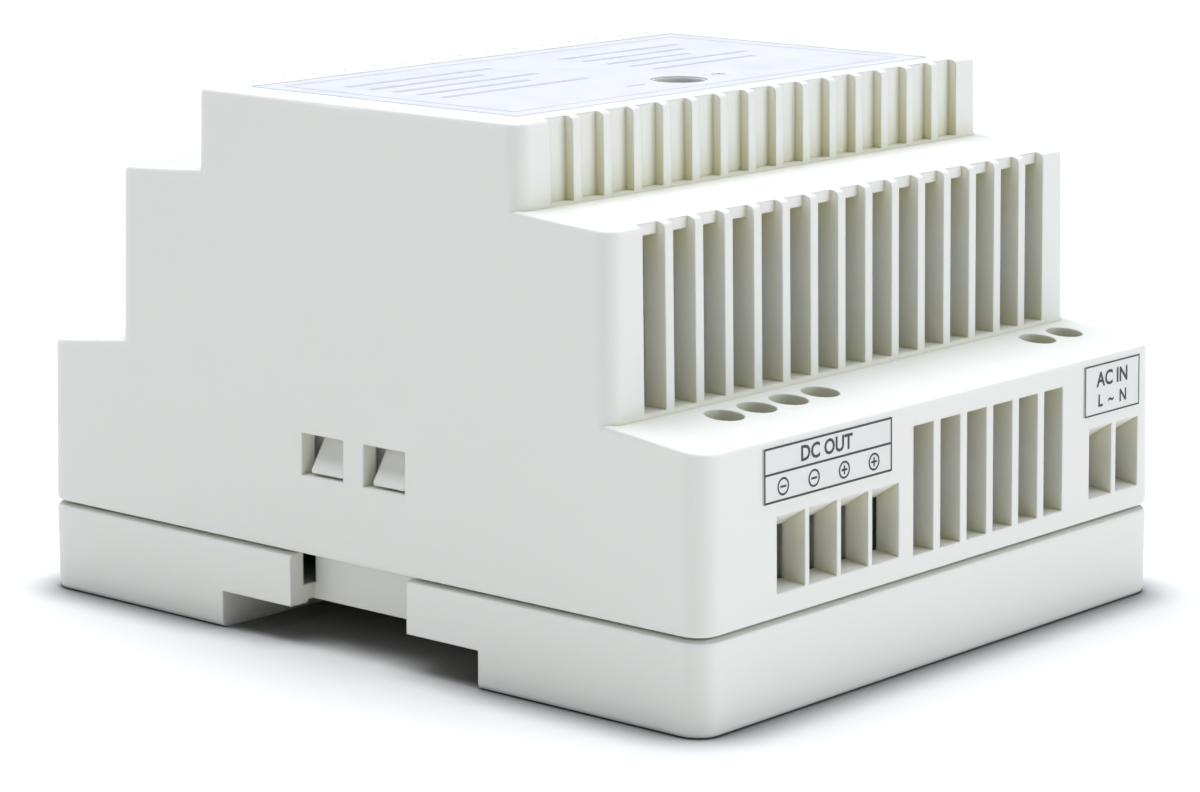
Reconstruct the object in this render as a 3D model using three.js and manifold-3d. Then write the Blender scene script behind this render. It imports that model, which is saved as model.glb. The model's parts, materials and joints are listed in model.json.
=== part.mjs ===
// A power supply in a stepped plastic housing that clips onto a 35 mm mounting rail.
// Millimetres. X runs along the rail, -Y is the side with the wire entries, +Z points away from the rail.
// The origin is the middle of the bottom face.

import * as THREE from 'three';
import { mergeVertices } from 'three/addons/utils/BufferGeometryUtils.js';
import Module from 'manifold-3d';

const wasm = await Module();
wasm.setup();

// ---------------------------------------------------------------- driving dimensions

const WIDTH = 78;
const HEIGHT = 93;
const DEPTH = 57;
const SPLIT_Z = 9.7;
const SEAM_GAP = 0.3;
const DRAFT = 0.0169;
const GAP = 0.3;

const WALL = 1.9;
const VENT_WALL = 2.8;
const ROOF = 2.1;

// Each tier: how far it reaches in Y at the split, where the next tier starts, its corner radius, the height
// and fall of its roof, and the height of the space inside.
const TIERS = [
  { reach: 46.5, next: 35.05, corner: 2.8, roof: 29.0, fall: 0.1135, ceiling: 25.2 },
  { reach: 35.05, next: 23.45, corner: 2.0, roof: 48.5, fall: 0.068, ceiling: 45.3 },
  { reach: 23.45, next: 0, corner: 2.0, roof: DEPTH, fall: 0, ceiling: DEPTH - ROOF },
];
const [LOW_TIER, MIDDLE_TIER, TOP_TIER] = TIERS;
const EDGE_ROUND = 0.6;

const VENT_COUNT = 15;
const VENT_PITCH = 4.56;
const VENT_WIDTH = 3.3;
const VENT_Z = [29.4, 46.6];
const GROOVE_DEPTH = 1.0;
const LOW_VENT_COUNT = 6;
const LOW_VENT_PITCH = 4.6;
const LOW_VENT_FIRST = -3.8;
const LOW_VENT_WIDTH = 3.4;
const LOW_VENT_Z = [12.1, 25.4];

const WAY_PITCH = 5.08;
const DC_FIRST = -25.4;
const AC_FIRST = 28.1;
const WAYS = [
  ...[0, 1, 2, 3].map((i) => ({ name: `dc_${i + 1}`, x: DC_FIRST + i * WAY_PITCH, entry: 4.4 })),
  ...[0, 1].map((i) => ({ name: `ac_${i + 1}`, x: AC_FIRST + i * WAY_PITCH, entry: 4.2 })),
];
const WAY_Y = -38;
const FUNNEL = {
  outerY: -48,
  outerLow: 12.2,
  outerHigh: 21.2,
  innerY: -42.8,
  innerLow: 12.9,
  innerHigh: 17.7,
};
const DRIVER_HOLE = { radius: 2.0, bottom: 24, top: 30 };

const TRIM = { x: 0, y: -11, hole: 2.75, rotor: 2.2, bottom: 50, top: 60 };

const WINDOWS = [
  { y0: 1.0, y1: 6.9, catch0: 1.3, catch1: 5.8 },
  { y0: -7.7, y1: -1.9, catch0: -7.4, catch1: -3.0 },
];
const WINDOW_Z = [18.3, 22.7];

const RAIL = { low: -17.7, high: 18.9, seat: 4.0, relief: 4.3, land0: 12.6, land1: 15.0, landX: 28 };
const NOTCH = { y0: -7.9, y1: 8.7, inner: 35.6 };
const LATCH = { core: 10, wing: 13, bottom: 0.3, top: 3.1, tail: 46.4 };
const SPRING = { radius: 1.6, wire: 0.28, length: 13.0, turns: 7, y: 24.8, z: 2.7 };

const BOARD = { x: 36.4, y: 43, bottom: 9.4, top: 11.0, notchX: 33.4, notchY: 9.4 };
const PARTS_Z = BOARD.top + GAP;
const POSTS = [[-31, -30], [12, -38], [-29, 40], [29, 40]];

// ---------------------------------------------------------------- solids

// The closed solid of a three.js geometry.
function solid(geometry) {
  const bare = geometry.clone();
  bare.deleteAttribute('normal');
  bare.deleteAttribute('uv');
  const merged = mergeVertices(bare, 1e-4);
  return new wasm.Manifold(new wasm.Mesh({
    numProp: 3,
    vertProperties: Float32Array.from(merged.attributes.position.array),
    triVerts: Uint32Array.from(merged.index.array),
  }));
}

// The three.js geometry of a solid.
function surface(body) {
  const mesh = body.getMesh();
  const geometry = new THREE.BufferGeometry();
  geometry.setAttribute('position', new THREE.BufferAttribute(mesh.vertProperties, 3));
  geometry.setIndex(new THREE.BufferAttribute(mesh.triVerts, 1));
  geometry.computeVertexNormals();
  return geometry;
}

function joined(first, ...others) {
  return others.reduce((sum, body) => sum.add(body), first);
}

function cut(body, ...tools) {
  return tools.reduce((rest, tool) => rest.subtract(tool), body);
}

function boxShape(x0, x1, y0, y1, z0, z1) {
  const geometry = new THREE.BoxGeometry(x1 - x0, y1 - y0, z1 - z0);
  geometry.translate((x0 + x1) / 2, (y0 + y1) / 2, (z0 + z1) / 2);
  return geometry;
}

function box(x0, x1, y0, y1, z0, z1) {
  return solid(boxShape(x0, x1, y0, y1, z0, z1));
}

// A cylinder along X, Y or Z, from low to high on that axis.
function rod(axis, a, b, low, high, radius, sides = 16) {
  const geometry = new THREE.CylinderGeometry(radius, radius, high - low, sides);
  const middle = (low + high) / 2;
  if (axis === 'x') geometry.rotateZ(Math.PI / 2).translate(middle, a, b);
  if (axis === 'y') geometry.translate(a, middle, b);
  if (axis === 'z') geometry.rotateX(Math.PI / 2).translate(a, b, middle);
  return solid(geometry);
}

function extruded(shape, depth, segments = 4) {
  return new THREE.ExtrudeGeometry(shape, { depth, bevelEnabled: false, curveSegments: segments });
}

function polygon(points) {
  return new THREE.Shape(points.map(([u, v]) => new THREE.Vector2(u, v)));
}

// A prism along X whose outline is given as [y, z] points.
function alongX(points, x0, x1) {
  const turn = new THREE.Matrix4().set(0, 0, 1, x0, 1, 0, 0, 0, 0, 1, 0, 0, 0, 0, 0, 1);
  return solid(extruded(polygon(points), x1 - x0).applyMatrix4(turn));
}

// A prism along Y whose outline is given as [x, z] points.
function alongY(points, y0, y1) {
  const turn = new THREE.Matrix4().set(1, 0, 0, 0, 0, 0, -1, y1, 0, 1, 0, 0, 0, 0, 0, 1);
  return solid(extruded(polygon(points), y1 - y0).applyMatrix4(turn));
}

// Leans walls inwards with height, as moulded walls do: the end walls, and the side walls too unless told not to.
function drafted(geometry, sidesToo = true) {
  const spots = geometry.attributes.position;
  for (let i = 0; i < spots.count; i += 1) {
    const lean = DRAFT * Math.max(0, spots.getZ(i) - SPLIT_Z);
    if (sidesToo) spots.setX(i, spots.getX(i) - Math.sign(spots.getX(i)) * lean);
    spots.setY(i, spots.getY(i) - Math.sign(spots.getY(i)) * lean);
  }
  return geometry;
}

// A block with round upright corners and round top and bottom edges.
function roundedBlock(halfX, y0, y1, z0, z1, corner, edge) {
  const shape = new THREE.Shape();
  shape.absarc(halfX - corner, y1 - corner, corner, 0, Math.PI / 2);
  shape.absarc(-halfX + corner, y1 - corner, corner, Math.PI / 2, Math.PI);
  shape.absarc(-halfX + corner, y0 + corner, corner, Math.PI, Math.PI * 1.5);
  shape.absarc(halfX - corner, y0 + corner, corner, Math.PI * 1.5, Math.PI * 2);
  const geometry = new THREE.ExtrudeGeometry(shape, {
    depth: z1 - z0 - 2 * edge,
    bevelEnabled: true,
    bevelSize: edge,
    bevelOffset: -edge,
    bevelThickness: edge,
    bevelSegments: 2,
    curveSegments: 4,
  });
  return geometry.translate(0, 0, z0 + edge);
}

// ---------------------------------------------------------------- cover

const COVER_Z = SPLIT_Z + SEAM_GAP / 2;
const OVERLAP = 4;

// One side of a tier, with its roof falling away from the middle.
function tierSide(tier, side) {
  const ends = [-OVERLAP * side, tier.reach * side].sort((a, b) => a - b);
  const shape = roundedBlock(WIDTH / 2, ends[0], ends[1], COVER_Z, tier.roof, tier.corner, EDGE_ROUND);
  const spots = shape.attributes.position;
  for (let i = 0; i < spots.count; i += 1) {
    if (spots.getZ(i) < tier.roof - 2 * EDGE_ROUND) continue;
    const past = Math.abs(spots.getY(i)) - tier.next;
    spots.setZ(i, spots.getZ(i) - tier.fall * past);
  }
  return solid(drafted(shape));
}

function coverOuter() {
  const sides = TIERS.flatMap((tier) => [tierSide(tier, -1), tierSide(tier, 1)]);
  return joined(...sides);
}

function coverHollow() {
  const levels = TIERS.map((tier) => {
    const reach = tier.reach - VENT_WALL;
    const half = WIDTH / 2 - WALL;
    return solid(drafted(boxShape(-half, half, -reach, reach, COVER_Z - 1, tier.ceiling)));
  });
  return joined(...levels);
}

// An upright slot in the end wall of a tier, of a given depth, running out past the wall's face.
function slotTool(tier, side, x, width, deep, z0, z1) {
  const ends = [(tier.reach - deep) * side, (tier.reach + 2) * side].sort((a, b) => a - b);
  return solid(drafted(boxShape(x - width / 2, x + width / 2, ends[0], ends[1], z0, z1), false));
}

// Shallow upright grooves on the upper tiers, cut through to the inside on the middle tier.
function ventTools(side) {
  const tools = [];
  const through = VENT_WALL + 1;
  const [ventLow, ventHigh] = VENT_Z;
  for (let i = 0; i < VENT_COUNT; i += 1) {
    const x = (i - (VENT_COUNT - 1) / 2) * VENT_PITCH;
    const grooveTop = MIDDLE_TIER.roof + 2;
    tools.push(slotTool(TOP_TIER, side, x, VENT_WIDTH, GROOVE_DEPTH, MIDDLE_TIER.roof + 0.2, DEPTH + 2));
    tools.push(slotTool(MIDDLE_TIER, side, x, VENT_WIDTH, GROOVE_DEPTH, ventLow, grooveTop));
    tools.push(slotTool(MIDDLE_TIER, side, x, VENT_WIDTH, through, ventLow, ventHigh));
  }
  for (let i = 0; i < LOW_VENT_COUNT; i += 1) {
    const x = LOW_VENT_FIRST + i * LOW_VENT_PITCH;
    tools.push(slotTool(LOW_TIER, side, x, LOW_VENT_WIDTH, through, ...LOW_VENT_Z));
  }
  return tools;
}

// Funnel-shaped wire entries, with a screwdriver hole in the roof over each.
function wayTools() {
  const funnel = [
    [FUNNEL.outerY, FUNNEL.outerLow],
    [FUNNEL.innerY, FUNNEL.innerLow],
    [FUNNEL.innerY, FUNNEL.innerHigh],
    [FUNNEL.outerY, FUNNEL.outerHigh],
  ];
  return WAYS.flatMap((way) => [
    alongX(funnel, way.x - way.entry / 2, way.x + way.entry / 2),
    rod('z', way.x, WAY_Y, DRIVER_HOLE.bottom, DRIVER_HOLE.top, DRIVER_HOLE.radius, 20),
  ]);
}

function windowTools() {
  return WINDOWS.flatMap((spot) => [-1, 1].map((side) => {
    const ends = [36 * side, 40 * side].sort((a, b) => a - b);
    return box(ends[0], ends[1], spot.y0, spot.y1, WINDOW_Z[0], WINDOW_Z[1]);
  }));
}

const LABEL = { x: 34, y0: -18.6, y1: 18.6, sheet: 0.12, sunk: 0.16 };
const DC_LABEL = { x0: -29.7, x1: -9.3, z0: 21.5, z1: 27.0 };
const AC_LABEL = { x0: 24.9, x1: 35.3, z0: 21.4, z1: 26.9 };

function labelOutline(inset) {
  const x = LABEL.x - inset;
  return [[-x, LABEL.y0 + inset], [x, LABEL.y0 + inset], [x, LABEL.y1 - inset], [-x, LABEL.y1 - inset]];
}

function makeCover() {
  const recess = solid(extruded(polygon(labelOutline(0)), 2).translate(0, 0, DEPTH - LABEL.sunk));
  return cut(
    coverOuter(),
    coverHollow(),
    ...ventTools(-1),
    ...ventTools(1),
    ...wayTools(),
    ...windowTools(),
    recess,
    rod('z', TRIM.x, TRIM.y, TRIM.bottom, TRIM.top, TRIM.hole, 24),
  );
}

// ---------------------------------------------------------------- labels

function makeTopLabel() {
  const sheet = extruded(polygon(labelOutline(GAP)), LABEL.sheet).translate(0, 0, DEPTH - LABEL.sheet);
  return cut(solid(sheet), rod('z', TRIM.x, TRIM.y, TRIM.bottom, TRIM.top, TRIM.hole + GAP, 24));
}

// A thin sheet on the drafted -Y wall of the lowest tier.
function makeFrontLabel({ x0, x1, z0, z1 }) {
  const wall = (z) => -(LOW_TIER.reach - DRAFT * (z - SPLIT_Z));
  const off = 0.02;
  const outline = [
    [wall(z0) - off, z0],
    [wall(z0) - off - LABEL.sheet, z0],
    [wall(z1) - off - LABEL.sheet, z1],
    [wall(z1) - off, z1],
  ];
  return alongX(outline.reverse(), x0, x1);
}

// ---------------------------------------------------------------- base

const BASE_TOP = SPLIT_Z - SEAM_GAP / 2;
const INSIDE_X = WIDTH / 2 - WALL;
const INSIDE_Y = HEIGHT / 2 - WALL;
const CHANNEL_TOP = LATCH.top + GAP;

function tray() {
  const shape = roundedBlock(WIDTH / 2, -HEIGHT / 2, HEIGHT / 2, 0, BASE_TOP, LOW_TIER.corner, EDGE_ROUND);
  const above = BASE_TOP + 1;
  return cut(
    solid(shape),
    box(-INSIDE_X, INSIDE_X, RAIL.low - WALL, RAIL.high + WALL, 6, above),
    box(-INSIDE_X, INSIDE_X, -INSIDE_Y, RAIL.low - WALL + 0.1, 2, above),
    box(16, INSIDE_X, RAIL.high + WALL - 0.1, INSIDE_Y, 2, above),
    box(-INSIDE_X, -16, RAIL.high + WALL - 0.1, INSIDE_Y, 2, above),
    box(-16.1, 16.1, RAIL.high + WALL - 0.1, INSIDE_Y, 6.3, above),
  );
}

// The slot for the rail, with two raised lands that sit on the rail's face.
function railSlot(body) {
  const slotted = cut(
    body,
    box(-40, 40, RAIL.low, RAIL.high, -1, RAIL.seat),
    box(-36.5, 36.5, RAIL.low, RAIL.high, 2, RAIL.relief),
    box(NOTCH.inner, 40, NOTCH.y0, NOTCH.y1, -1, 11),
    box(-40, -NOTCH.inner, NOTCH.y0, NOTCH.y1, -1, 11),
  );
  return joined(
    slotted,
    box(-RAIL.landX, RAIL.landX, RAIL.land0, RAIL.land1, RAIL.seat, 5),
    box(-RAIL.landX, RAIL.landX, -RAIL.land1, -RAIL.land0, RAIL.seat, 5),
  );
}

function railHooks() {
  const outline = [[-18.6, 0.5], [-16.6, 0.5], [-15.5, 1.5], [-15.5, 2.8], [-18.6, 2.8]];
  return [alongX(outline, -26, -12), alongX(outline, 12, 26)];
}

// A T-shaped channel for the latch, the pocket over its spring, and a notch for a screwdriver's tip.
function latchTools() {
  const { core, wing } = LATCH;
  return [
    box(-core - GAP, core + GAP, RAIL.high - 1, 48, -1, CHANNEL_TOP),
    box(-wing - GAP, wing + GAP, 20.7, 44.3, 1.5, CHANNEL_TOP),
    box(-2.4, 2.4, 23.8, 38.5, 3, 5),
    box(-4, 4, 41.5, 48, 3, 5.4),
  ];
}

// The upright tongue on one side, with the catches that show in the cover's windows.
function snapTongue(side) {
  const at = (x) => x * side;
  const turned = (points) => (side > 0 ? points : [...points].reverse());
  const wall = turned([[at(34), 4.6], [at(35.6), 4.6], [at(35.6), 23.2], [at(35), 24], [at(34), 24]]);
  const ramp = turned([
    [at(35.2), WINDOW_Z[0] + GAP],
    [at(38.5), WINDOW_Z[0] + GAP],
    [at(38.5), WINDOW_Z[0] + 0.7],
    [at(36.3), 22.4],
    [at(35.2), 22.4],
  ]);
  const catches = WINDOWS.map((spot) => alongY(ramp, spot.catch0, spot.catch1));
  return joined(alongY(wall, NOTCH.y0, NOTCH.y1 - GAP), ...catches);
}

function boardPosts() {
  return POSTS.flatMap(([x, y]) => [
    rod('z', x, y, 1.5, BOARD.bottom - GAP, 2.4, 12),
    rod('z', x, y, 1.5, BOARD.top + 0.5, 1.1, 12),
  ]);
}

function makeBase() {
  const shell = cut(railSlot(tray()), ...latchTools());
  const springStop = box(-2.2, 2.2, 38.6, 40.4, 0.6, 4.5);
  return joined(shell, springStop, ...railHooks(), snapTongue(-1), snapTongue(1), ...boardPosts());
}

// ---------------------------------------------------------------- rail latch

function makeLatch() {
  const { core, wing, bottom, top, tail } = LATCH;
  const lip = [[19.4, bottom + 0.1], [19.4, 2.8], [15.6, 2.8], [15.6, 1.5], [16.7, bottom + 0.1]];
  const plate = joined(
    box(-core, core, 19.2, tail, bottom, top),
    box(-wing, wing, 21.0, 40.5, 1.8, top),
    alongX([...lip].reverse(), -core, core),
  );
  return cut(
    plate,
    box(-2.6, 2.6, 24, 41.2, -1, 5),
    box(-3, 3, 42.8, 44.6, -1, 5),
  );
}

class Coil extends THREE.Curve {
  constructor(radius, length, turns) {
    super();
    Object.assign(this, { radius, length, turns });
  }

  getPoint(t, target = new THREE.Vector3()) {
    const angle = t * this.turns * Math.PI * 2;
    const along = t * this.length;
    return target.set(this.radius * Math.cos(angle), along, this.radius * Math.sin(angle));
  }
}

function makeLatchSpring() {
  const path = new Coil(SPRING.radius, SPRING.length, SPRING.turns);
  const section = new THREE.Shape().absarc(0, 0, SPRING.wire, 0, Math.PI * 2);
  const steps = SPRING.turns * 12;
  const geometry = new THREE.ExtrudeGeometry(section, { extrudePath: path, steps, curveSegments: 3 });
  return solid(geometry.translate(0, SPRING.y, SPRING.z));
}

// ---------------------------------------------------------------- terminals

const BLOCK = { y0: -43.1, y1: -33, z0: PARTS_Z, z1: 23.4 };
const CAGE = { half: 1.65, y0: -42.4, y1: -35.2, z0: 12.8, z1: 18.4 };
const CONTACT_Z = [16.0, 16.6];
const SCREW = { tip: 16.9, neck: 21.5, top: 22.9, shank: 1.1, head: 1.75 };

function makeTerminalBlock(ways) {
  const xs = ways.map((way) => way.x);
  const margin = WAY_PITCH / 2 - 0.05;
  const ends = [Math.min(...xs) - margin, Math.max(...xs) + margin];
  const body = box(...ends, BLOCK.y0, BLOCK.y1, BLOCK.z0, BLOCK.z1);
  const tools = xs.flatMap((x) => [
    box(x - 1.95, x + 1.95, BLOCK.y0 - 1, -34.6, 12.5, 21),
    box(x - 1.2, x + 1.2, -34.7, -33.4, 11, 17),
    rod('z', x, WAY_Y, 20, 25, 1.45, 16),
    rod('z', x, WAY_Y, SCREW.neck - 0.2, 25, 2.05, 16),
  ]);
  return cut(body, ...tools);
}

function makeCage(x) {
  return cut(
    box(x - CAGE.half, x + CAGE.half, CAGE.y0, CAGE.y1, CAGE.z0, CAGE.z1),
    box(x - 1.2, x + 1.2, -44, -34, CAGE.z0 + 0.6, CAGE.z1 - 0.8),
    rod('z', x, WAY_Y, 17, 20, 1.3, 12),
  );
}

function makeContact(x) {
  return joined(
    box(x - 0.9, x + 0.9, -42.2, -33.8, CONTACT_Z[0], CONTACT_Z[1]),
    box(x - 0.9, x + 0.9, -34.4, -33.8, PARTS_Z, CONTACT_Z[1]),
  );
}

function makeScrew(x) {
  const profile = [
    [0, SCREW.tip],
    [SCREW.shank - 0.3, SCREW.tip],
    [SCREW.shank, SCREW.tip + 0.3],
    [SCREW.shank, SCREW.neck],
    [SCREW.head, SCREW.neck],
    [SCREW.head, SCREW.top - 0.3],
    [SCREW.head - 0.3, SCREW.top],
    [0, SCREW.top],
  ].map(([r, z]) => new THREE.Vector2(r, z));
  const turned = new THREE.LatheGeometry(profile, 16).rotateX(Math.PI / 2).translate(x, WAY_Y, 0);
  return cut(solid(turned), box(x - 3, x + 3, WAY_Y - 0.25, WAY_Y + 0.25, SCREW.top - 0.7, 30));
}

// ---------------------------------------------------------------- boards and their parts

function makeBoard() {
  const { x, y, bottom, top, notchX, notchY } = BOARD;
  const outline = [
    [-x, -y], [x, -y], [x, -notchY], [notchX, -notchY], [notchX, notchY], [x, notchY],
    [x, y], [-x, y], [-x, notchY], [-notchX, notchY], [-notchX, -notchY], [-x, -notchY],
  ];
  const sheet = solid(extruded(polygon(outline), top - bottom).translate(0, 0, bottom));
  return cut(sheet, ...POSTS.map(([px, py]) => rod('z', px, py, 8, 12, 1.4, 12)));
}

const TRAFO = { x: 1, half: 16, z0: 12.6, tall: 30.3, thick: 5, back: 5, leg: 5 };

// One E-shaped half of the transformer's core.
function coreHalf(z0, direction) {
  const { x, half, thick, back, leg, tall } = TRAFO;
  const reach = (tall - GAP) / 2;
  const heights = [[-half, 0], [half, 0], [half, reach], [half - leg, reach], [half - leg, back], [leg, back],
    [leg, reach], [-leg, reach], [-leg, back], [-half + leg, back], [-half + leg, reach], [-half, reach]];
  const outline = heights.map(([u, v]) => [x + u, z0 + v * direction]);
  return alongY(direction > 0 ? outline : outline.reverse(), -thick, thick);
}

function ring(x, outerX, outerY, inner, z0, z1) {
  return cut(
    box(x - outerX, x + outerX, -outerY, outerY, z0, z1),
    box(x - inner, x + inner, -inner, inner, z0 - 1, z1 + 1),
  );
}

const SPOOL = { inner: 5.3, outer: 6.2, flangeX: 10.7, flangeY: 11.6, z0: 17.9, z1: 37.6 };

function makeBobbin() {
  const { inner, outer, flangeX, flangeY, z0, z1 } = SPOOL;
  return joined(
    ring(TRAFO.x, outer, outer, inner, z0, z1),
    ring(TRAFO.x, flangeX, flangeY, inner, z0, z0 + 1),
    ring(TRAFO.x, flangeX, flangeY, inner, z1 - 1, z1),
  );
}

function makeTransformerWinding() {
  const { outer, flangeX, flangeY, z0, z1 } = SPOOL;
  return ring(TRAFO.x, flangeX - 0.4, flangeY - 0.6, outer + GAP, z0 + 1 + GAP, z1 - 1 - GAP);
}

const CHOKE = { x: 23.6, y: 20.5, z: 23, outer: 8.4, inner: 5.2, half: 3.4, wire: 1.1 };

// A ring about Y, or a part of one, between two angles in its own plane.
function ringAboutY(outer, inner, half, start = 0, end = Math.PI * 2) {
  const shape = new THREE.Shape();
  const whole = end - start >= Math.PI * 2;
  shape.absarc(0, 0, outer, start, end, false);
  if (whole) {
    shape.holes.push(new THREE.Path().absarc(0, 0, inner, 0, Math.PI * 2, true));
  } else {
    shape.absarc(0, 0, inner, end, start, true);
  }
  const geometry = extruded(shape, half * 2, whole ? 12 : 8).translate(0, 0, -half);
  return geometry.rotateX(Math.PI / 2).translate(CHOKE.x, CHOKE.y, CHOKE.z);
}

function makeChokeWinding(side) {
  const { outer, inner, half, wire } = CHOKE;
  const middle = side > 0 ? 0 : Math.PI;
  const sweep = Math.PI * 0.4;
  const sleeve = solid(ringAboutY(outer + wire, inner - wire, half + wire, middle - sweep, middle + sweep));
  return cut(sleeve, solid(ringAboutY(outer + GAP, inner - GAP, half + GAP)));
}

// ---------------------------------------------------------------- parts on the boards

const BULK_CAPACITOR = { x: 1, y: 22, radius: 9, top: 42.8, sides: 24 };
const OUTPUT_CAPACITORS = [
  { x: -18.5, y: -12, radius: 5, top: 31.3, sides: 16 },
  { x: -18.5, y: -24, radius: 5, top: 31.3, sides: 16 },
];
const VARISTOR = { x: 23.6, z: 17, y0: -29.5, y1: -25.5, radius: 5, sides: 20 };
const FUSE = { x: 31, z: 14.4, y0: -30, y1: -10, radius: 2.5, sides: 14 };
const X_CAPACITOR = { x: [19.6, 27.6], y: [-21, -3], z: [PARTS_Z, 26.3] };
const BRIDGE = { x: [18, 32.5], y: [31, 34.6], z: [PARTS_Z, 22.3] };
const PRIMARY_HEATSINK = { x: [-14.4, -12.4], y: [14, 31], z: [PARTS_Z, 37] };
const SWITCH_TRANSISTOR = { x: [-19.2, -14.7], y: [17, 27.2], z: [15, 30.5] };
const OUTPUT_HEATSINK = { x: [-31.4, -29.4], y: [-26, -11], z: [PARTS_Z, 38] };
const OUTPUT_RECTIFIER = { x: [-29.1, -24.6], y: [-24, -13.8], z: [15, 30.5] };
const OPTOCOUPLER = { x: [5, 11.6], y: [-24.3, -19.7], z: [PARTS_Z, 15] };
const CONTROL_BOARD = { x: [-9, 9], y: [-15.9, -14.7], z: [PARTS_Z, 52.5] };
const CONTROLLER_CHIP = { x: [-3, 3], y: [-17.7, -16.2], z: [30, 35] };
const TRIMMER_BODY = { x: [-3.3, 3.3], y: [-14.3, -7.7], z: [49.5, 53.8] };
const TRIMMER = { seat: 51.8, bottom: 52.1, top: 56.4, slotX: 1.6, slotY: 0.35, slotBottom: 55.5 };

function block({ x, y, z }) {
  return box(...x, ...y, ...z);
}

// A capacitor's can, standing on the board.
function can({ x, y, radius, top, sides }) {
  return rod('z', x, y, PARTS_Z, top, radius, sides);
}

// A round part lying along Y.
function disc({ x, z, y0, y1, radius, sides }) {
  return rod('y', x, z, y0, y1, radius, sides);
}

function makeTrimmerBody() {
  const socket = rod('z', TRIM.x, TRIM.y, TRIMMER.seat, TRIMMER.top, TRIM.rotor + 0.2, 16);
  return cut(block(TRIMMER_BODY), socket);
}

function makeTrimmerRotor() {
  const { bottom, top, slotX, slotY, slotBottom } = TRIMMER;
  const slot = box(-slotX, slotX, TRIM.y - slotY, TRIM.y + slotY, slotBottom, top + 1);
  return cut(rod('z', TRIM.x, TRIM.y, bottom, top, TRIM.rotor, 16), slot);
}

// ---------------------------------------------------------------- materials and assembly

const finish = (color, roughness, metalness = 0) => () => (
  new THREE.MeshStandardMaterial({ color, roughness, metalness })
);
const housing = finish(0xe6e7e8, 0.55);
const blockPlastic = finish(0x5a5d57, 0.5);
const steel = finish(0xb4b6b8, 0.35, 1);
const tinned = finish(0xc9c7bf, 0.3, 1);
const laminate = finish(0x2f6b46, 0.5);
const ferrite = finish(0x3a3a3d, 0.7);
const copper = finish(0xb06a32, 0.4, 1);
const tape = finish(0xd9b93a, 0.45);
const blackPlastic = finish(0x1c1c1e, 0.45);
const canSleeve = finish(0x23272e, 0.3);
const aluminium = finish(0xb9bcc0, 0.4, 1);
const printed = finish(0xf1f1f6, 0.4);
const filmYellow = finish(0xd8c25a, 0.4);
const ceramicBlue = finish(0x2f58a8, 0.35);
const glassTube = finish(0xd7dcdc, 0.15);
const nylonWhite = finish(0xf0efe8, 0.5);
const trimBlue = finish(0x3b5f9a, 0.4);
const trimGrey = finish(0x84848a, 0.4);

const group = new THREE.Group();

function place(name, body, material) {
  const mesh = new THREE.Mesh(surface(body), material());
  mesh.name = name;
  group.add(mesh);
}

place('cover', makeCover(), housing);
place('base', makeBase(), housing);
place('label_top', makeTopLabel(), printed);
place('label_dc', makeFrontLabel(DC_LABEL), printed);
place('label_ac', makeFrontLabel(AC_LABEL), printed);
place('din_latch', makeLatch(), blackPlastic);
place('latch_spring', makeLatchSpring(), steel);

place('pcb', makeBoard(), laminate);
place('dc_terminal_block', makeTerminalBlock(WAYS.slice(0, 4)), blockPlastic);
place('ac_terminal_block', makeTerminalBlock(WAYS.slice(4)), blockPlastic);
for (const way of WAYS) {
  place(`${way.name}_cage`, makeCage(way.x), steel);
  place(`${way.name}_contact`, makeContact(way.x), tinned);
  place(`${way.name}_screw`, makeScrew(way.x), steel);
}

place('transformer_core_lower', coreHalf(TRAFO.z0, 1), ferrite);
place('transformer_core_upper', coreHalf(TRAFO.z0 + TRAFO.tall, -1), ferrite);
place('transformer_bobbin', makeBobbin(), blackPlastic);
place('transformer_winding', makeTransformerWinding(), tape);
place('choke_core', solid(ringAboutY(CHOKE.outer, CHOKE.inner, CHOKE.half)), ferrite);
place('choke_winding_a', makeChokeWinding(-1), copper);
place('choke_winding_b', makeChokeWinding(1), copper);

place('bulk_capacitor', can(BULK_CAPACITOR), canSleeve);
OUTPUT_CAPACITORS.forEach((part, i) => place(`output_capacitor_${i + 1}`, can(part), canSleeve));
place('x_capacitor', block(X_CAPACITOR), filmYellow);
place('varistor', disc(VARISTOR), ceramicBlue);
place('fuse', disc(FUSE), glassTube);
place('bridge_rectifier', block(BRIDGE), blackPlastic);
place('primary_heatsink', block(PRIMARY_HEATSINK), aluminium);
place('switch_transistor', block(SWITCH_TRANSISTOR), blackPlastic);
place('output_heatsink', block(OUTPUT_HEATSINK), aluminium);
place('output_rectifier', block(OUTPUT_RECTIFIER), blackPlastic);
place('optocoupler', block(OPTOCOUPLER), nylonWhite);
place('control_board', block(CONTROL_BOARD), laminate);
place('controller_chip', block(CONTROLLER_CHIP), blackPlastic);
place('trimmer_body', makeTrimmerBody(), trimBlue);
place('trimmer_rotor', makeTrimmerRotor(), trimGrey);

export default group;
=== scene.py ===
"""A DIN rail power supply in a pale moulded housing, on a white studio floor.

Metres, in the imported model's frame: X along the rail, -Y the side with the wire entries,
+Z away from the rail.
"""

import json
from math import cos, pi, radians, sin

import bmesh
import bpy
from mathutils import Matrix, Vector

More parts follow.
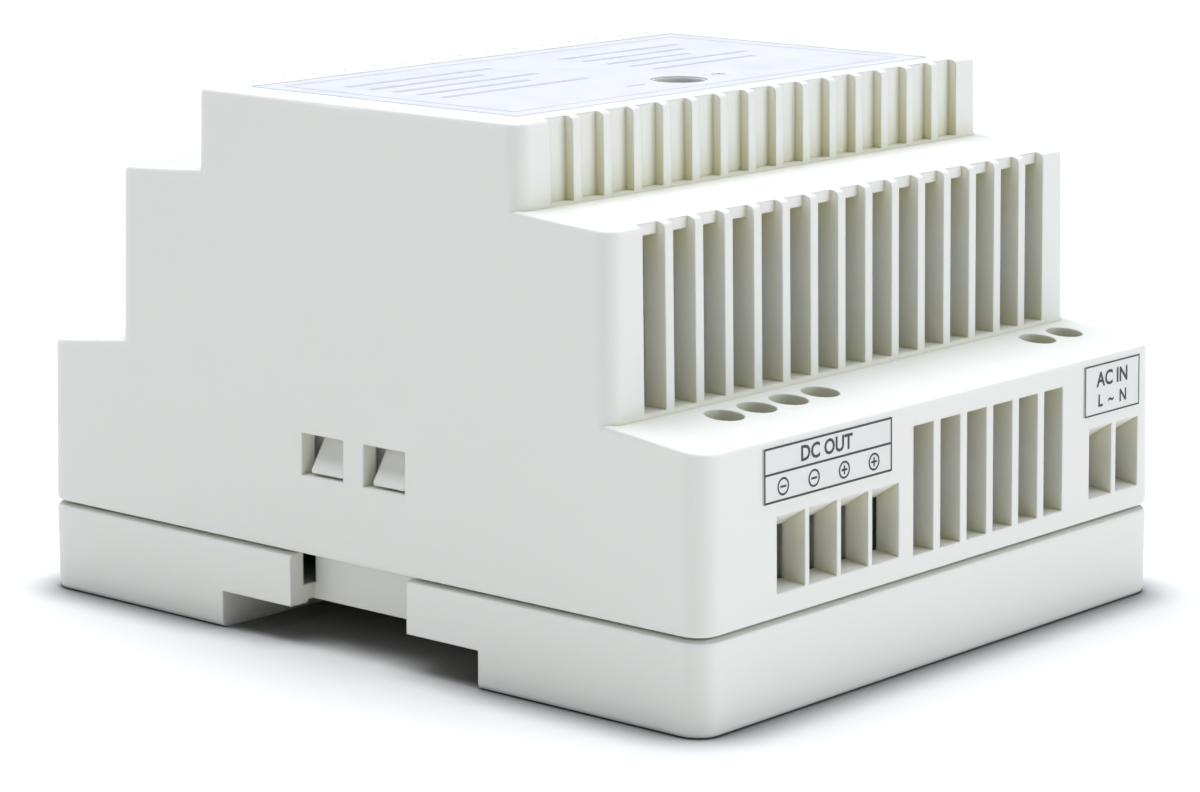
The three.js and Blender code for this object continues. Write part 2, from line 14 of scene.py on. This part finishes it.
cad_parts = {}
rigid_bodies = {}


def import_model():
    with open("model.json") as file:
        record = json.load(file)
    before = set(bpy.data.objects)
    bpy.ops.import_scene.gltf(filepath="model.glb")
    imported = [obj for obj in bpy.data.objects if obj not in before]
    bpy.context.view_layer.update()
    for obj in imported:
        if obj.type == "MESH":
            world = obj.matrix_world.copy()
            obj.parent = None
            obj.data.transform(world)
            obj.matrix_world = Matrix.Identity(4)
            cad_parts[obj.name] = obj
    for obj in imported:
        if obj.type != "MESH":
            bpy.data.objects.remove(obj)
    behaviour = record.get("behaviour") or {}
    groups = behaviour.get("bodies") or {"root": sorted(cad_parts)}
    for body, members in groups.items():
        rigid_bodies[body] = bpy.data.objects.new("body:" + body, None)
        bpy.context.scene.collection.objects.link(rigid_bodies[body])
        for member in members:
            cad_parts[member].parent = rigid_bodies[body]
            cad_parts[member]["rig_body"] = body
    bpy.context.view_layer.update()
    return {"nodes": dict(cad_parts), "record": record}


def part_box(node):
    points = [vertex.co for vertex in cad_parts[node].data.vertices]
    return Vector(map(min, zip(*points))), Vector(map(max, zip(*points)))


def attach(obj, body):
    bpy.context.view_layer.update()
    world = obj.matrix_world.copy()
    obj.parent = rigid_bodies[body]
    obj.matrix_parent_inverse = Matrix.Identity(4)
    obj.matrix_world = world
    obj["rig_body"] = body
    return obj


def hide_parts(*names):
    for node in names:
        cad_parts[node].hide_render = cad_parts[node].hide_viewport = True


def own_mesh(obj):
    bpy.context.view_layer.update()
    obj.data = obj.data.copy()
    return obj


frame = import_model()
NODES = frame["nodes"]
MM = 0.001

SHARP_ANGLE = radians(32)  # faces that meet at more than this keep a crisp edge
SHEET = 0.12 * MM  # thickness of the small labels
INK_LIFT = 0.015 * MM  # height of printed ink over its label
CAP_RATIO = 0.7  # height of a capital letter over its font size
SPRING_TURNS = 7
SPRING_WIRE = 0.28 * MM  # radius of the spring's wire
REFINED = ("cover", "base", "din_latch")

# The camera stands left of the front, a little above the floor, and looks at the middle of the housing.
CAMERA_TURN = radians(-49.13)
CAMERA_TILT = radians(11.478)
CAMERA_DISTANCE = 0.419
CAMERA_DROP = 0.00637
CAMERA_TARGET = (0, 0, 0.028)
CAMERA_LENS = 115.7


# ---------------------------------------------------------------- materials

def shader(name):
    """A new material's nodes, links and main shader."""
    material = bpy.data.materials.new(name)
    material.use_nodes = True
    tree = material.node_tree
    return material, tree, tree.nodes["Principled BSDF"]


def noise(tree, size, detail=3.0, rough=0.55, stretch=(1, 1, 1)):
    """A noise in the object's own space, whose features are about `size` metres across."""
    place = tree.nodes.new("ShaderNodeTexCoord")
    scale = tree.nodes.new("ShaderNodeMapping")
    scale.inputs["Scale"].default_value = stretch
    tree.links.new(place.outputs["Object"], scale.inputs["Vector"])
    cloud = tree.nodes.new("ShaderNodeTexNoise")
    cloud.inputs["Scale"].default_value = 1 / size
    cloud.inputs["Detail"].default_value = detail
    cloud.inputs["Roughness"].default_value = rough
    tree.links.new(scale.outputs["Vector"], cloud.inputs["Vector"])
    return cloud.outputs["Fac"]


def ranged(tree, value, low, high, from_low=0.3, from_high=0.7):
    """A value that goes from low to high while the given one goes from from_low to from_high."""
    step = tree.nodes.new("ShaderNodeMapRange")
    step.inputs["From Min"].default_value = from_low
    step.inputs["From Max"].default_value = from_high
    step.inputs["To Min"].default_value = low
    step.inputs["To Max"].default_value = high
    tree.links.new(value, step.inputs["Value"])
    return step.outputs["Result"]


def mixed(tree, factor, a, b):
    """A colour between a and b, each a colour or a socket."""
    mix = tree.nodes.new("ShaderNodeMix")
    mix.data_type = "RGBA"
    tree.links.new(factor, mix.inputs[0])
    for socket, value in ((mix.inputs[6], a), (mix.inputs[7], b)):
        if isinstance(value, (tuple, list)):
            socket.default_value = (*value, 1)
        else:
            tree.links.new(value, socket)
    return mix.outputs[2]


def bumped(tree, main, height, depth, edge=0.00012):
    """Relief on a surface whose hard edges look slightly rounded."""
    bump = tree.nodes.new("ShaderNodeBump")
    bump.inputs["Distance"].default_value = depth
    tree.links.new(height, bump.inputs["Height"])
    softened = tree.nodes.new("ShaderNodeBevel")
    softened.samples = 4
    softened.inputs["Radius"].default_value = edge
    tree.links.new(softened.outputs["Normal"], bump.inputs["Normal"])
    tree.links.new(bump.outputs["Normal"], main.inputs["Normal"])


def occlusion_for_painted_shade(tree, reach, low, high, own_shape=False):
    """An ambient-occlusion mask for painted shade: 0 in recesses and close to other things, rising to 1 in
    the open, judged within `reach` metres.
    """
    shade = tree.nodes.new("ShaderNodeAmbientOcclusion")
    shade.samples = 8 if own_shape else 16
    shade.only_local = own_shape
    shade.inputs["Distance"].default_value = reach
    return ranged(tree, shade.outputs["AO"], 0.0, 1.0, low, high)


def tinted(colour, by):
    """A colour made lighter or darker."""
    return tuple(min(1.0, c * by) for c in colour)


def plain(name, colour, rough=0.5, metal=0.0, tone=0.04, patch=0.012, grain=0.0004, depth=0.000006, coat=0.0):
    """A surface with slow changes of tone, patches of different gloss and a fine grain."""
    material, tree, main = shader(name)
    main.inputs["Metallic"].default_value = metal
    main.inputs["Coat Weight"].default_value = coat
    main.inputs["Coat Roughness"].default_value = 0.15
    slow = ranged(tree, noise(tree, patch), 0.0, 1.0)
    colours = mixed(tree, slow, tinted(colour, 1 - tone), tinted(colour, 1 + tone))
    tree.links.new(colours, main.inputs["Base Color"])
    gloss = ranged(tree, noise(tree, patch * 0.4, 5), rough - 0.06, rough + 0.06)
    tree.links.new(gloss, main.inputs["Roughness"])
    bumped(tree, main, noise(tree, grain, 2), depth)
    return material


def housing_plastic():
    """Pale moulded plastic with a fine grain and faint flow marks, and painted shade that makes it darker and
    warmer in its recesses.
    """
    material, tree, main = shader("housing_plastic")
    colour = (0.84, 0.832, 0.775)
    # painted shade: a darker, warmer colour that stands in for the shade deep in recesses
    painted_shade_colour = (0.65, 0.63, 0.4)
    slow = ranged(tree, noise(tree, 0.05, 2), 0.0, 1.0)
    flow = ranged(tree, noise(tree, 0.02, 4, 0.6, (1, 1, 0.25)), 0.0, 1.0)
    base = mixed(tree, slow, tinted(colour, 0.985), tinted(colour, 1.01))
    skin = mixed(tree, flow, base, tinted(colour, 0.992))
    # painted shade mask: ambient occlusion of the housing's own shape, 0 deep in recesses
    painted_shade_mask = occlusion_for_painted_shade(tree, 0.006, 0.22, 0.76, own_shape=True)
    tree.links.new(mixed(tree, painted_shade_mask, painted_shade_colour, skin), main.inputs["Base Color"])
    gloss = ranged(tree, noise(tree, 0.006, 5), 0.44, 0.54)
    tree.links.new(gloss, main.inputs["Roughness"])
    main.inputs["Specular IOR Level"].default_value = 0.42
    main.inputs["Subsurface Weight"].default_value = 0.12
    main.inputs["Subsurface Radius"].default_value = (0.0012, 0.001, 0.0008)
    main.inputs["Subsurface Scale"].default_value = 1.0
    bumped(tree, main, noise(tree, 0.00035, 3, 0.65), 0.000008, 0.0003)
    return material


def sticker_film():
    """Thin coated film with a slight lavender cast."""
    material, tree, main = shader("sticker")
    slow = ranged(tree, noise(tree, 0.03, 2), 0.0, 1.0)
    colours = mixed(tree, slow, (0.83, 0.815, 0.83), (0.855, 0.84, 0.855))
    tree.links.new(colours, main.inputs["Base Color"])
    gloss = ranged(tree, noise(tree, 0.004, 4), 0.3, 0.4)
    tree.links.new(gloss, main.inputs["Roughness"])
    bumped(tree, main, noise(tree, 0.008, 2), 0.00001)
    return material


def ink(name, colour):
    """Screen-printed ink, a little uneven."""
    return plain(name, colour, rough=0.5, tone=0.1, patch=0.0012, grain=0.0002, depth=0.000003)


def brushed_metal(name, colour, rough=0.32):
    """Metal with fine drawn lines along Z and dulled patches."""
    material, tree, main = shader(name)
    main.inputs["Metallic"].default_value = 1.0
    lines = noise(tree, 0.002, 4, 0.7, (12, 12, 0.6))
    patches = ranged(tree, noise(tree, 0.003, 4), 0.0, 1.0)
    tree.links.new(mixed(tree, patches, tinted(colour, 0.8), colour), main.inputs["Base Color"])
    tree.links.new(ranged(tree, lines, rough - 0.08, rough + 0.12), main.inputs["Roughness"])
    bumped(tree, main, lines, 0.000005)
    return material


def tape_layers(name, colour, step=0.0016):
    """Overlapping turns of wound tape or wire: bands across Z with dark edges."""
    material, tree, main = shader(name)
    place = tree.nodes.new("ShaderNodeTexCoord")
    bands = tree.nodes.new("ShaderNodeTexWave")
    bands.bands_direction = "Z"
    bands.wave_profile = "SAW"
    bands.inputs["Scale"].default_value = 1 / (step * 3.2)
    bands.inputs["Distortion"].default_value = 0.4
    tree.links.new(place.outputs["Object"], bands.inputs["Vector"])
    edge = ranged(tree, bands.outputs["Fac"], 0.0, 1.0, 0.0, 0.2)
    tree.links.new(mixed(tree, edge, tinted(colour, 0.55), colour), main.inputs["Base Color"])
    gloss = ranged(tree, noise(tree, 0.003), 0.25, 0.4)
    tree.links.new(gloss, main.inputs["Roughness"])
    bumped(tree, main, bands.outputs["Fac"], 0.00008)
    return material


def solder_mask():
    """Green board lacquer with brighter tracks under it."""
    material, tree, main = shader("laminate")
    place = tree.nodes.new("ShaderNodeTexCoord")
    cells = tree.nodes.new("ShaderNodeTexVoronoi")
    cells.distance = "MANHATTAN"
    cells.inputs["Scale"].default_value = 160
    tree.links.new(place.outputs["Object"], cells.inputs["Vector"])
    tracks = ranged(tree, cells.outputs["Distance"], 1.0, 0.0, 0.45, 0.5)
    green = mixed(tree, tracks, (0.012, 0.09, 0.038), (0.025, 0.17, 0.07))
    tree.links.new(green, main.inputs["Base Color"])
    tree.links.new(ranged(tree, noise(tree, 0.002), 0.25, 0.38), main.inputs["Roughness"])
    bumped(tree, main, tracks, 0.00003)
    return material


LOOKS = {
    "housing_plastic": housing_plastic(),
    "latch_plastic": plain("latch_plastic", (0.02, 0.02, 0.022), rough=0.48, tone=0.2),
    "terminal_plastic": plain("terminal_plastic", (0.15, 0.145, 0.09), rough=0.5, tone=0.08),
    "sticker": sticker_film(),
    "spring_steel": brushed_metal("spring_steel", (0.6, 0.6, 0.6), 0.25),
    "plated_steel": brushed_metal("plated_steel", (0.62, 0.61, 0.57), 0.34),
    "tinned_brass": brushed_metal("tinned_brass", (0.66, 0.62, 0.52), 0.35),
    "laminate": solder_mask(),
    "ferrite": plain("ferrite", (0.035, 0.035, 0.038), rough=0.65, tone=0.2, grain=0.0002, depth=0.00001),
    "tape": tape_layers("tape", (0.72, 0.5, 0.06), 0.003),
    "enamelled_wire": tape_layers("enamelled_wire", (0.45, 0.13, 0.035), 0.0008),
    "black_plastic": plain("black_plastic", (0.018, 0.018, 0.02), rough=0.45, tone=0.2),
    "can_sleeve": plain("can_sleeve", (0.02, 0.022, 0.035), rough=0.28, tone=0.15, coat=0.4),
    "aluminium": brushed_metal("aluminium", (0.75, 0.76, 0.77), 0.35),
    "film_box": plain("film_box", (0.62, 0.46, 0.08), rough=0.35, tone=0.05, coat=0.2),
    "blue_ceramic": plain("blue_ceramic", (0.02, 0.07, 0.35), rough=0.3, tone=0.1, coat=0.5),
    "fuse_glass": plain("fuse_glass", (0.6, 0.63, 0.62), rough=0.12, tone=0.03, coat=0.6),
    "white_nylon": plain("white_nylon", (0.72, 0.7, 0.63), rough=0.5),
    "trimmer_blue": plain("trimmer_blue", (0.03, 0.09, 0.33), rough=0.42),
    "trimmer_grey": plain("trimmer_grey", (0.42, 0.42, 0.43), rough=0.42, tone=0.1),
}
INK = ink("printed_ink", (0.03, 0.035, 0.04))
PALE_INK = ink("pale_ink", (0.59, 0.58, 0.63))


# ---------------------------------------------------------------- shapes

def linked(name, mesh, look):
    """An object in the scene with one material."""
    piece = bpy.data.objects.new(name, mesh)
    bpy.context.scene.collection.objects.link(piece)
    mesh.materials.clear()
    mesh.materials.append(look)
    return piece


def slot_of(node):
    """The material slot that the record gives a node."""
    subparts = frame["record"]["subparts"]
    return next(part["material_slot"] for part in subparts if part["node"] == node)


def refined(node):
    """A copy of a CAD node with smooth round corners, crisp edges and even shading on its flats."""
    source = NODES[node]
    shape = bmesh.new()
    shape.from_mesh(source.data)
    bmesh.ops.remove_doubles(shape, verts=shape.verts, dist=2e-6)
    bmesh.ops.dissolve_degenerate(shape, dist=2e-6, edges=shape.edges)
    shape.normal_update()
    for face in shape.faces:
        face.smooth = True
    for edge in shape.edges:
        edge.smooth = edge.calc_face_angle(pi) < SHARP_ANGLE
    mesh = bpy.data.meshes.new(node + "_skin")
    shape.to_mesh(mesh)
    shape.free()
    piece = linked(node + "_skin", mesh, LOOKS[slot_of(node)])
    normals = piece.modifiers.new("normals", "WEIGHTED_NORMAL")
    normals.keep_sharp = True
    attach(piece, source["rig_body"])
    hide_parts(node)
    return piece


def tube(name, path, radius, look, sides=10):
    """A closed tube along a list of points."""
    points, faces = [], []
    for i, spot in enumerate(path):
        ahead = (path[min(i + 1, len(path) - 1)] - path[max(i - 1, 0)]).normalized()
        outward = Vector((spot.x - path[0].x, 0, spot.z - path[0].z + 1e-6))
        side = ahead.cross(outward if outward.length > 1e-5 else Vector((0, 0, 1))).normalized()
        other = side.cross(ahead)
        points += [spot + side * radius * cos(2 * pi * k / sides) + other * radius * sin(2 * pi * k / sides)
                   for k in range(sides)]
    for i in range(len(path) - 1):
        for k in range(sides):
            a, b = i * sides + k, i * sides + (k + 1) % sides
            faces.append((a, a + sides, b + sides, b))
    faces.append(tuple(range(sides)))
    faces.append(tuple(reversed(range(len(points) - sides, len(points)))))
    mesh = bpy.data.meshes.new(name)
    mesh.from_pydata(points, [], faces)
    for face in mesh.polygons:
        face.use_smooth = True
    return linked(name, mesh, look)


def latch_spring():
    """A coil whose first and last turns lie closed."""
    low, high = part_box("latch_spring")
    radius = (high.x - low.x) / 2 - SPRING_WIRE
    steps = 32
    closed = 2 * SPRING_WIRE + 0.02 * MM
    active = (high.y - low.y - 2 * SPRING_WIRE - 2 * closed) / (SPRING_TURNS - 2)
    path = []
    y = low.y + SPRING_WIRE
    for i in range(SPRING_TURNS * steps + 1):
        turn = i / steps
        path.append(Vector(((low.x + high.x) / 2 + radius * cos(2 * pi * turn), y,
                            (low.z + high.z) / 2 + radius * sin(2 * pi * turn))))
        y += (closed if turn < 1 or turn >= SPRING_TURNS - 1 else active) / steps
    coil = tube("latch_spring_coil", path, SPRING_WIRE, LOOKS["spring_steel"])
    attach(coil, "housing")
    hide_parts("latch_spring")
    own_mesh(coil)


def lathed(name, centre, axis, profile, look, steps=40):
    """A turned shape about an axis through a point, from [radius, height] pairs."""
    turn = Vector((0, 0, 1)).rotation_difference(Vector(axis)).to_matrix()
    points = []
    for radius, height in profile:
        for k in range(steps):
            angle = 2 * pi * k / steps
            points.append(Vector(centre) + turn @ Vector((radius * cos(angle), radius * sin(angle), height)))
    faces = [tuple(reversed(range(steps)))]
    for i in range(len(profile) - 1):
        for k in range(steps):
            a, b = i * steps + k, i * steps + (k + 1) % steps
            faces.append((a, b, b + steps, a + steps))
    faces.append(tuple(range(len(points) - steps, len(points))))
    mesh = bpy.data.meshes.new(name)
    mesh.from_pydata(points, [], faces)
    piece = linked(name, mesh, look)
    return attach(piece, "housing")


def capacitor_tops():
    """The bare rolled metal end inside each can's sleeve."""
    for node in ("bulk_capacitor", "output_capacitor_1", "output_capacitor_2"):
        low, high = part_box(node)
        radius = (high.x - low.x) / 2 - 0.7 * MM
        profile = [(radius, 0.01 * MM), (radius, 0.16 * MM), (radius - 0.25 * MM, 0.2 * MM),
                   (radius - 0.6 * MM, 0.1 * MM), (radius * 0.3, 0.1 * MM)]
        centre = ((low.x + high.x) / 2, (low.y + high.y) / 2, high.z)
        lathed(node + "_end", centre, (0, 0, 1), profile, LOOKS["aluminium"])


def fuse_caps():
    """The plated cap on each end of the fuse's tube."""
    low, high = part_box("fuse")
    tube_radius = (high.x - low.x) / 2
    cap_radius = tube_radius + 0.12 * MM
    middle = ((low.x + high.x) / 2, (low.z + high.z) / 2)
    profile = [(tube_radius - 0.3 * MM, -0.08 * MM), (cap_radius, 0.2 * MM), (cap_radius, 4.6 * MM),
               (tube_radius + 0.02 * MM, 4.8 * MM)]
    for name, y, way in (("fuse_cap_low", low.y, 1), ("fuse_cap_high", high.y, -1)):
        lathed(name, (middle[0], y, middle[1]), (0, way, 0), profile, LOOKS["plated_steel"])


# ---------------------------------------------------------------- prints

class Flat:
    """A flat print surface: an origin and two directions in it, and the way it faces."""

    def __init__(self, origin, across, up):
        self.origin = Vector(origin)
        self.across = Vector(across).normalized()
        self.up = Vector(up).normalized()
        self.out = self.across.cross(self.up)

    def at(self, u, v):
        return self.origin + self.across * u + self.up * v + self.out * INK_LIFT


class Print:
    """Gathers inked shapes on one flat surface into a single piece."""

    def __init__(self, flat):
        self.flat = flat
        self.points = []
        self.faces = []

    def add(self, outline):
        start = len(self.points)
        self.points += [self.flat.at(u, v) for u, v in outline]
        self.faces.append(list(range(start, start + len(outline))))

    def bar(self, u0, u1, v0, v1):
        self.add([(u0, v0), (u1, v0), (u1, v1), (u0, v1)])

    def frame(self, u0, u1, v0, v1, line):
        self.bar(u0, u1, v0, v0 + line)
        self.bar(u0, u1, v1 - line, v1)
        self.bar(u0, u0 + line, v0 + line, v1 - line)
        self.bar(u1 - line, u1, v0 + line, v1 - line)

    def ring(self, u, v, radius, line, steps=32):
        for i in range(steps):
            a, b = 2 * pi * i / steps, 2 * pi * (i + 1) / steps
            outer, inner = radius, radius - line
            self.add([(u + inner * cos(a), v + inner * sin(a)), (u + outer * cos(a), v + outer * sin(a)),
                      (u + outer * cos(b), v + outer * sin(b)), (u + inner * cos(b), v + inner * sin(b))])

    def word(self, text, u, v, height):
        """Plain lettering centred on (u, v)."""
        curve = bpy.data.curves.new("word", "FONT")
        curve.body = text
        curve.size = height / CAP_RATIO
        curve.align_x = "CENTER"
        curve.offset = height * 0.035
        curve.resolution_u = 3
        holder = bpy.data.objects.new("word", curve)
        mesh = bpy.data.meshes.new_from_object(holder)
        start = len(self.points)
        for point in mesh.vertices:
            self.points.append(self.flat.at(u + point.co.x, v + point.co.y - height / 2))
        self.faces += [[start + i for i in face.vertices] for face in mesh.polygons]
        bpy.data.objects.remove(holder)
        bpy.data.curves.remove(curve)
        bpy.data.meshes.remove(mesh)

    def piece(self, name, look):
        mesh = bpy.data.meshes.new(name)
        mesh.from_pydata(self.points, [], self.faces)
        printed = linked(name, mesh, look)
        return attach(printed, "housing")


def wall_label(node):
    """The outer face of a label on the leaning wall, with its width and height."""
    low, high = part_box(node)
    tall = high.z - low.z
    lean = high.y - low.y - SHEET
    flat = Flat((low.x, low.y, low.z), (1, 0, 0), (0, lean, tall))
    return flat, high.x - low.x, tall


def output_print():
    """The framed heading over the output's entries, with a round sign for each."""
    flat, wide, tall = wall_label("label_dc")
    line = 0.22 * MM
    marks = Print(flat)
    middle = tall * 0.52
    marks.frame(0, wide, 0, tall, line)
    marks.bar(line, wide - line, middle - line / 2, middle + line / 2)
    marks.word("DC OUT", wide * 0.48, (middle + tall) / 2, 1.5 * MM)
    pitch = 4.83 * MM
    for i, sign in enumerate("--++"):
        u = wide / 2 + (i - 1.5) * pitch
        v = middle / 2
        marks.ring(u, v, 0.9 * MM, 0.21 * MM)
        marks.bar(u - 0.46 * MM, u + 0.46 * MM, v - 0.11 * MM, v + 0.11 * MM)
        if sign == "+":
            marks.bar(u - 0.11 * MM, u + 0.11 * MM, v - 0.46 * MM, v + 0.46 * MM)
    return marks.piece("print_dc", INK)


def input_print():
    """The framed heading over the input's entries."""
    flat, wide, tall = wall_label("label_ac")
    line = 0.17 * MM
    marks = Print(flat)
    marks.frame(0, wide, 0, tall, line)
    marks.word("AC IN", wide / 2, tall * 0.7, 1.55 * MM)
    marks.word("L  ~  N", wide / 2, tall * 0.28, 1.3 * MM)
    return marks.piece("print_ac", INK)


def top_print():
    """Faint rules and blocks on the top sticker, in place of its printed data."""
    low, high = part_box("label_top")
    marks = Print(Flat((low.x, low.y, high.z), (1, 0, 0), (0, 1, 0)))
    wide, tall = high.x - low.x, high.y - low.y
    inset = 2.2 * MM
    marks.frame(inset, wide - inset, inset, tall - inset, 0.15 * MM)
    for row in range(5):
        v = tall - 8 * MM - row * 3.4 * MM
        long = (17 if row % 2 else 22) * MM
        marks.bar(6 * MM, 6 * MM + long, v, v + 0.9 * MM)
        marks.bar(wide - 28 * MM, wide - (8 + 3 * (row % 3)) * MM, v, v + 0.8 * MM)
    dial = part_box("trimmer_rotor")
    u = (dial[0].x + dial[1].x) / 2 - low.x
    v = (dial[0].y + dial[1].y) / 2 - low.y
    marks.bar(u - 8.5 * MM, u - 5.6 * MM, v - 0.2 * MM, v + 0.2 * MM)
    marks.bar(u + 5.6 * MM, u + 7.6 * MM, v - 0.2 * MM, v + 0.2 * MM)
    marks.bar(u + 6.4 * MM, u + 6.8 * MM, v - 1.0 * MM, v + 1.0 * MM)
    return marks.piece("print_top", PALE_INK)


# ---------------------------------------------------------------- build

for node in REFINED:
    refined(node)
for node in NODES:
    if node in (*REFINED, "latch_spring"):
        continue
    look = LOOKS["housing_plastic"] if node in ("label_dc", "label_ac") else LOOKS[slot_of(node)]
    NODES[node].data.materials.clear()
    NODES[node].data.materials.append(look)

latch_spring()
capacitor_tops()
fuse_caps()
output_print()
input_print()
top_print()


# ---------------------------------------------------------------- studio

def studio():
    """A pale floor with a painted contact shadow near the object, a dim even sky and three wide lights."""
    floor_mesh = bpy.data.meshes.new("floor")
    reach = 4.0
    floor_mesh.from_pydata([(-reach, -reach, 0), (reach, -reach, 0), (reach, reach, 0), (-reach, reach, 0)],
                           [], [(0, 1, 2, 3)])
    material, tree, main = shader("studio_floor")
    tint = ranged(tree, noise(tree, 0.4, 2), 0.0, 1.0)
    paper = mixed(tree, tint, (0.83, 0.81, 0.775), (0.84, 0.82, 0.785))
    # painted shadow: the floor turns dark where the object is close, as a contact shadow
    painted_shade_mask = occlusion_for_painted_shade(tree, 0.006, 0.48, 0.97)
    tree.links.new(mixed(tree, painted_shade_mask, (0.17, 0.167, 0.163), paper), main.inputs["Base Color"])
    main.inputs["Roughness"].default_value = 0.7
    linked("floor", floor_mesh, material)

    world = bpy.data.worlds.new("studio")
    world.use_nodes = True
    sky = world.node_tree.nodes["Background"]
    sky.inputs["Color"].default_value = (0.92, 0.97, 1.05, 1)
    sky.inputs["Strength"].default_value = 0.25
    bpy.context.scene.world = world

    def wide_light(name, place, spread, strength):
        """Light from one wide patch of ceiling or wall, the same all over the floor."""
        light = bpy.data.lights.new(name, "SUN")
        light.angle = radians(spread)
        light.energy = strength * pi
        light.color = (0.93, 0.98, 1.06)
        lamp = bpy.data.objects.new(name, light)
        lamp.rotation_euler = Vector(place).to_track_quat("Z", "Y").to_euler()
        bpy.context.scene.collection.objects.link(lamp)

    wide_light("ceiling", (0.04, 0.15, 1.0), 55, 1.13)
    wide_light("front", (0.5, -0.87, 0.2), 40, 0.34)
    wide_light("side", (-0.8, 0.6, 0.28), 40, 0.06)
    bpy.context.scene.view_settings.view_transform = "Standard"
    bpy.context.scene.view_settings.look = "None"


def camera():
    level = cos(CAMERA_TILT)
    back = Vector((sin(CAMERA_TURN) * level, -cos(CAMERA_TURN) * level, sin(CAMERA_TILT)))
    right = Vector((cos(CAMERA_TURN), sin(CAMERA_TURN), 0))
    up = back.cross(right)
    place = Vector(CAMERA_TARGET) + back * CAMERA_DISTANCE - up * CAMERA_DROP
    lens = bpy.data.cameras.new("camera")
    lens.sensor_width = 36
    lens.lens = CAMERA_LENS
    lens.clip_start = 0.01
    eye = bpy.data.objects.new("camera", lens)
    eye.matrix_world = Matrix((
        (right.x, up.x, back.x, place.x),
        (right.y, up.y, back.y, place.y),
        (right.z, up.z, back.z, place.z),
        (0, 0, 0, 1),
    ))
    bpy.context.scene.collection.objects.link(eye)
    bpy.context.scene.camera = eye


studio()
camera()
